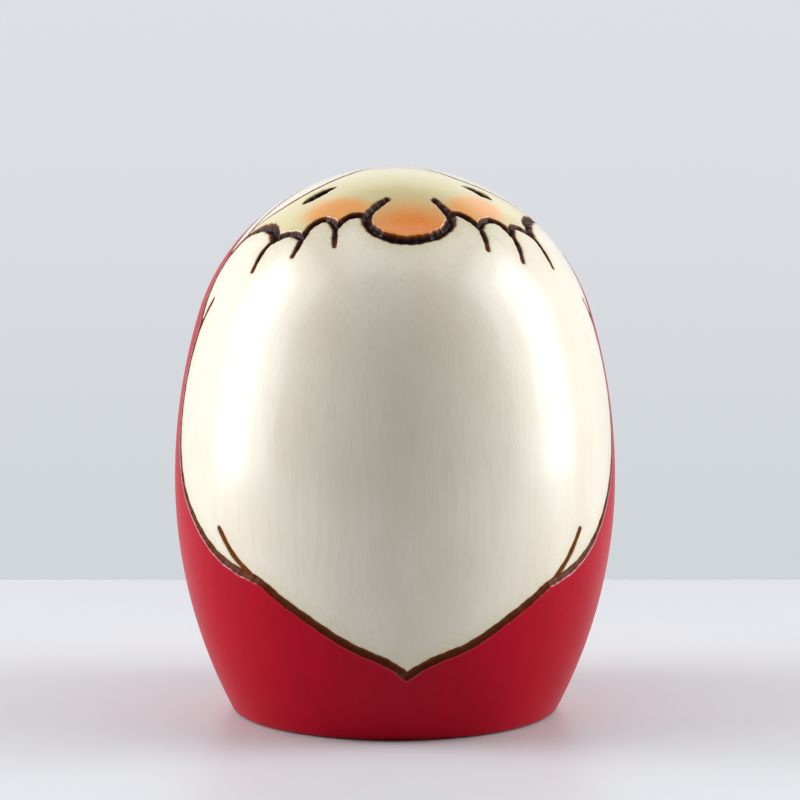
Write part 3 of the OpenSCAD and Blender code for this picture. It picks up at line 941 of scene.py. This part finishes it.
CAMERA_AZIMUTH = math.radians(-4)  # the doll is turned a little to the camera's right
CAMERA_AWAY = 700.0
CAMERA_ELEVATION = math.radians(11.806)
CAMERA_PITCH = math.radians(8.346)
LENS = 228.9
SHIFT_X = 0.00625
SENSOR_W = 36
LIGHT_AIM_Z = 40.0  # height that every softbox faces
TABLE_FAR = 103.0  # the table's far edge, behind the doll's axis
TABLE_NEAR = -620.0
TABLE_HALF_W = 420.0
TABLE_EDGE_R = 6.0
TABLE_SKIRT = 40.0


def studio(x, y, z):
    """A place in metres, from millimetres in the studio, where the camera looks along +Y."""
    c, s = math.cos(CAMERA_AZIMUTH), math.sin(CAMERA_AZIMUTH)
    return ((x * c - y * s) * MM, (x * s + y * c) * MM, z * MM)


def add_camera():
    data = bpy.data.cameras.new("camera")
    data.lens = LENS
    data.sensor_width = SENSOR_W
    data.shift_x = SHIFT_X
    data.clip_start = 0.01
    camera = bpy.data.objects.new("camera", data)
    camera.location = studio(0, -CAMERA_AWAY * math.cos(CAMERA_ELEVATION),
                             CAMERA_AWAY * math.sin(CAMERA_ELEVATION))
    camera.rotation_euler = (math.pi / 2 - CAMERA_PITCH, 0, CAMERA_AZIMUTH)
    bpy.context.collection.objects.link(camera)
    bpy.context.scene.camera = camera


def add_light(name, azimuth, elevation, distance, width, height, watts):
    """A softbox that faces the doll, in millimetres and degrees. Azimuth 0 is the camera's
    side and grows to the right."""
    az, el = math.radians(azimuth), math.radians(elevation)
    data = bpy.data.lights.new(name, "AREA")
    data.shape = "RECTANGLE"
    data.size, data.size_y = width * MM, height * MM
    data.energy = watts
    light = bpy.data.objects.new(name, data)
    light.location = studio(distance * math.cos(el) * math.sin(az),
                            -distance * math.cos(el) * math.cos(az),
                            LIGHT_AIM_Z + distance * math.sin(el))
    light.rotation_euler = (math.pi / 2 - el, 0, az + CAMERA_AZIMUTH)
    light.visible_camera = False  # the panel itself never stands in a picture
    bpy.context.collection.objects.link(light)


def add_table():
    """A white table top whose far edge rounds off behind the doll."""
    turn = np.linspace(0, math.pi / 2, 12)
    rim = [(TABLE_FAR - TABLE_EDGE_R + TABLE_EDGE_R * math.sin(a),
            -TABLE_EDGE_R + TABLE_EDGE_R * math.cos(a)) for a in turn]
    profile = [(TABLE_NEAR, 0.0), (TABLE_FAR - 4 * TABLE_EDGE_R, 0.0)] + rim
    profile.append((TABLE_FAR, -TABLE_SKIRT))
    vertices = [studio(x, y, z) for y, z in profile for x in (-TABLE_HALF_W, TABLE_HALF_W)]
    quads = [(2 * k, 2 * k + 1, 2 * k + 3, 2 * k + 2) for k in range(len(profile) - 1)]
    mesh = bpy.data.meshes.new("table")
    mesh.from_pydata(vertices, [], quads)
    mesh.polygons.foreach_set("use_smooth", [True] * len(quads))
    nodes = Nodes("table_white")
    tone = nodes.mix(nodes.noise((0.02, 0.02, 0.02), 2.0), srgb(216, 219, 224),
                     srgb(223, 226, 231))
    nodes.link(tone, nodes.shader.inputs["Base Color"])
    nodes.shader.inputs["Roughness"].default_value = 0.42
    nodes.shader.inputs["Specular IOR Level"].default_value = 0.4
    mesh.materials.append(nodes.material)
    table = bpy.data.objects.new("table", mesh)
    bpy.context.collection.objects.link(table)


def add_world():
    """A pale backdrop behind the doll, paler upwards, and a dim room on the camera's side."""
    world = bpy.data.worlds.new("studio")
    bpy.context.scene.world = world
    world.use_nodes = True
    tree = world.node_tree
    coords = tree.nodes.new("ShaderNodeTexCoord")
    split = tree.nodes.new("ShaderNodeSeparateXYZ")
    tree.links.new(coords.outputs["Generated"], split.inputs[0])

    def blend(axis, low, high, a, b):
        along = tree.nodes.new("ShaderNodeMapRange")
        along.interpolation_type = "SMOOTHSTEP"
        along.inputs["From Min"].default_value = low
        along.inputs["From Max"].default_value = high
        tree.links.new(split.outputs[axis], along.inputs["Value"])
        mix = tree.nodes.new("ShaderNodeMix")
        mix.data_type = "RGBA"
        tree.links.new(along.outputs["Result"], mix.inputs[0])
        for socket, colour in ((mix.inputs[6], a), (mix.inputs[7], b)):
            if isinstance(colour, list):
                socket.default_value = colour
            else:
                tree.links.new(colour, socket)
        return mix.outputs[2]

    room = srgb(48, 48, 50)
    wall = blend("Z", -0.2, -0.06, srgb(208, 213, 217), srgb(221, 224, 229))
    wall = blend("Z", 0.1, 0.35, wall, srgb(247, 248, 250))
    wall = blend("Z", 0.6, 0.8, wall, room)
    colour = blend("Y", -0.5, 0.0, room, wall)
    tree.links.new(colour, tree.nodes["Background"].inputs["Color"])


add_camera()
add_table()
add_world()
for side, share, core_watts in (("left", -1, 0.76), ("right", 1, 0.67)):
    add_light(side + "_softbox", 86 * share, 22, 430, 330, 560, 1.3)
    add_light(side + "_softbox_core", 92 * share, 17, 425, 160, 450, core_watts)
add_light("top_softbox", 0, 80, 420, 400, 250, 0.36)
add_light("back_softbox", 180, 35, 420, 400, 250, 0.07)
bpy.context.scene.view_settings.view_transform = "Standard"
